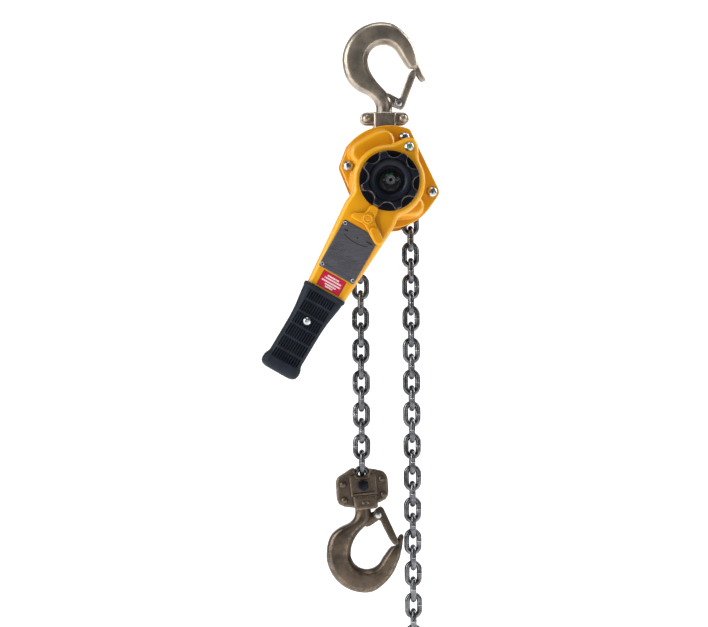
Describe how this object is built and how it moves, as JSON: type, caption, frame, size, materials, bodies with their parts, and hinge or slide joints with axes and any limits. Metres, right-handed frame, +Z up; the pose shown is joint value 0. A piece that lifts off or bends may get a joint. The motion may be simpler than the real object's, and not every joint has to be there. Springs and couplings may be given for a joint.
{
  "type": "lever chain hoist",
  "caption": "Ratchet lever hoist with hand wheel, top suspension hook, two chain falls, riveted hook block and latched swivel hook.",
  "frame": {"origin": "centre of the top hook's bowl, on the hook's axis", "axes": "+Z up along the top hook's shank, +X to the free chain fall's side, the lever and hand wheel face -Y"},
  "size_m": [0.2358, 0.14, 0.8735],
  "materials": {
    "hook_bronze": "bronze-grey forged steel with a satin lacquer",
    "dark_bronze": "dark bronze lacquer over forged and pressed steel",
    "dark_steel": "blackened steel",
    "machined_steel": "bare machined steel",
    "yellow_paint": "satin yellow powder paint",
    "zinc_plated": "bright zinc plate",
    "chain_steel": "oiled grey hardened steel",
    "brake_lining": "dry brown friction lining",
    "wheel_plastic": "fine-grained black moulding",
    "grip_rubber": "ribbed black rubber",
    "plate_grey": "grey anodised sheet",
    "red_label": "glossy printed film"
  },
  "bodies": {
    "top_hook": {"top_hook": "hook_bronze", "top_hook_nut": "dark_steel", "top_latch_pin": "dark_steel", "top_latch_spring": "machined_steel"},
    "top_latch": {"top_latch": "hook_bronze"},
    "top_yoke": {"top_yoke_front": "hook_bronze", "top_yoke_rear": "hook_bronze", "top_yoke_rivets": "dark_steel"},
    "frame": {"top_pin": "machined_steel", "front_side_plate": "yellow_paint", "rear_side_plate": "yellow_paint", "stay_spacers": "machined_steel", "brake_cover": "yellow_paint", "gear_cover": "yellow_paint", "cover_bolts": "zinc_plated", "chain_guide": "machined_steel", "sheave_bearings": "machined_steel", "pawl_pins": "machined_steel", "pawl_springs": "machined_steel"},
    "load_sheave": {"load_sheave": "dark_steel", "wrapped_links": "chain_steel", "load_gear": "machined_steel"},
    "intermediate_gear_a": {"intermediate_gear_a": "machined_steel"},
    "intermediate_gear_b": {"intermediate_gear_b": "machined_steel"},
    "drive": {"drive_shaft": "machined_steel", "disc_hub": "dark_steel", "friction_plates": "brake_lining", "change_gear": "machined_steel", "hand_wheel": "wheel_plastic", "shaft_nut": "zinc_plated", "split_pin": "machined_steel"},
    "ratchet_disc": {"ratchet_disc": "machined_steel"},
    "pawl_a": {"pawl_a": "dark_steel"},
    "pawl_b": {"pawl_b": "dark_steel"},
    "lever": {"lever_shell": "yellow_paint", "lever_back_plate": "yellow_paint", "lever_pin": "zinc_plated", "name_plate": "plate_grey", "plate_rivets": "zinc_plated", "red_sticker": "red_label", "grip": "grip_rubber", "grip_screw": "zinc_plated", "detent_spring": "machined_steel"},
    "selector": {"selector_lever": "yellow_paint", "change_over_pawl": "dark_steel", "selector_screw": "yellow_paint"},
    "load_chain_top": {"load_chain_top": "chain_steel"},
    "load_chain": {"load_chain": "chain_steel"},
    "bottom_block": {"block_front": "dark_bronze", "block_rear": "dark_bronze", "block_rivets": "dark_steel", "block_bolt": "dark_steel"},
    "bottom_hook": {"bottom_hook": "dark_bronze", "bottom_hook_nut": "dark_steel", "bottom_latch_pin": "dark_steel", "bottom_latch_spring": "machined_steel"},
    "bottom_latch": {"bottom_latch": "dark_bronze"},
    "free_chain_top": {"free_chain_top": "chain_steel"},
    "free_chain": {"free_chain": "chain_steel", "chain_end_stop": "chain_steel"}
  },
  "joints": [
    {"name": "top_latch_swing", "type": "hinge", "parent": "top_hook", "child": "top_latch", "pos_m": [0.0191, 0, -0.0561], "axis": [0, -1, 0], "range_deg": [0, 31], "stiffness_Nm_per_rad": 0.06, "springref_deg": -20.05},
    {"name": "top_hook_swivel", "type": "hinge", "parent": "top_hook", "child": "top_yoke", "pos_m": [0, 0, -0.073], "axis": [0, 0, 1], "continuous": true},
    {"name": "body_swing", "type": "hinge", "parent": "top_yoke", "child": "frame", "pos_m": [0, 0, -0.1035], "axis": [0, -1, 0], "range_deg": [-8, 8]},
    {"name": "load_chain_travel", "type": "slide", "parent": "frame", "child": "load_chain_top", "axis": [0, 0, 1], "range_m": [-0.0064, 0.0064]},
    {"name": "sheave_turn", "type": "hinge", "parent": "frame", "child": "load_sheave", "pos_m": [0, 0, -0.1615], "axis": [0, -1, 0], "range_deg": [-11.2, 11.2]},
    {"name": "intermediate_a_turn", "type": "hinge", "parent": "frame", "child": "intermediate_gear_a", "pos_m": [-0.01292, 0, -0.12951], "axis": [0, -1, 0], "range_deg": [-25.6, 25.6]},
    {"name": "intermediate_b_turn", "type": "hinge", "parent": "frame", "child": "intermediate_gear_b", "pos_m": [0.01292, 0, -0.19349], "axis": [0, -1, 0], "range_deg": [-25.6, 25.6]},
    {"name": "drive_turn", "type": "hinge", "parent": "frame", "child": "drive", "pos_m": [0, 0, -0.1615], "axis": [0, -1, 0], "range_deg": [-58.5, 58.5]},
    {"name": "free_chain_travel", "type": "slide", "parent": "frame", "child": "free_chain_top", "axis": [0, 0, 1], "range_m": [-0.0064, 0.0064]},
    {"name": "ratchet_turn", "type": "hinge", "parent": "frame", "child": "ratchet_disc", "pos_m": [0, 0, -0.1615], "axis": [0, -1, 0], "range_deg": [-19, 0]},
    {"name": "pawl_a_lift", "type": "hinge", "parent": "frame", "child": "pawl_a", "pos_m": [-0.03323, 0, -0.12827], "axis": [0, -1, 0], "range_deg": [0, 8.6]},
    {"name": "pawl_b_lift", "type": "hinge", "parent": "frame", "child": "pawl_b", "pos_m": [0.03323, 0, -0.19473], "axis": [0, -1, 0], "range_deg": [0, 8.6]},
    {"name": "lever_turn", "type": "hinge", "parent": "frame", "child": "lever", "pos_m": [0, 0, -0.1615], "axis": [0, -1, 0], "continuous": true},
    {"name": "selector_turn", "type": "hinge", "parent": "lever", "child": "selector", "pos_m": [-0.02835, 0, -0.2106], "axis": [0, -1, 0], "range_deg": [-22, 22]},
    {"name": "load_chain_swing", "type": "hinge", "parent": "load_chain_top", "child": "load_chain", "pos_m": [-0.03333, 0, -0.20736], "axis": [0, -1, 0], "range_deg": [-12, 0]},
    {"name": "block_swing", "type": "hinge", "parent": "load_chain", "child": "bottom_block", "pos_m": [-0.03333, 0, -0.55586], "axis": [0, -1, 0], "range_deg": [-12, 0]},
    {"name": "bottom_hook_swivel", "type": "hinge", "parent": "bottom_block", "child": "bottom_hook", "pos_m": [-0.02752, 0, -0.647], "axis": [0.0854, 0, -0.9963], "range_deg": [-120, 120]},
    {"name": "bottom_latch_swing", "type": "hinge", "parent": "bottom_hook", "child": "bottom_latch", "pos_m": [-0.0126, 0, -0.59745], "axis": [0, 1, 0], "range_deg": [0, 31], "stiffness_Nm_per_rad": 0.06, "springref_deg": -20.05},
    {"name": "free_chain_swing", "type": "hinge", "parent": "free_chain_top", "child": "free_chain", "pos_m": [0.03333, 0, -0.20736], "axis": [0, -1, 0], "range_deg": [0, 12]}
  ],
  "couplings": [
    {"joint": "sheave_turn", "follows": "load_chain_travel", "rad_per_m": -29.94},
    {"joint": "intermediate_a_turn", "follows": "load_chain_travel", "rad_per_m": 68.434},
    {"joint": "intermediate_b_turn", "follows": "load_chain_travel", "rad_per_m": 68.434},
    {"joint": "drive_turn", "follows": "load_chain_travel", "rad_per_m": -156.42},
    {"joint": "free_chain_travel", "follows": "load_chain_travel", "ratio": -1},
    {"joint": "pawl_a_lift", "follows": "ratchet_turn", "ratio": -0.45},
    {"joint": "pawl_b_lift", "follows": "ratchet_turn", "ratio": -0.45}
  ]
}
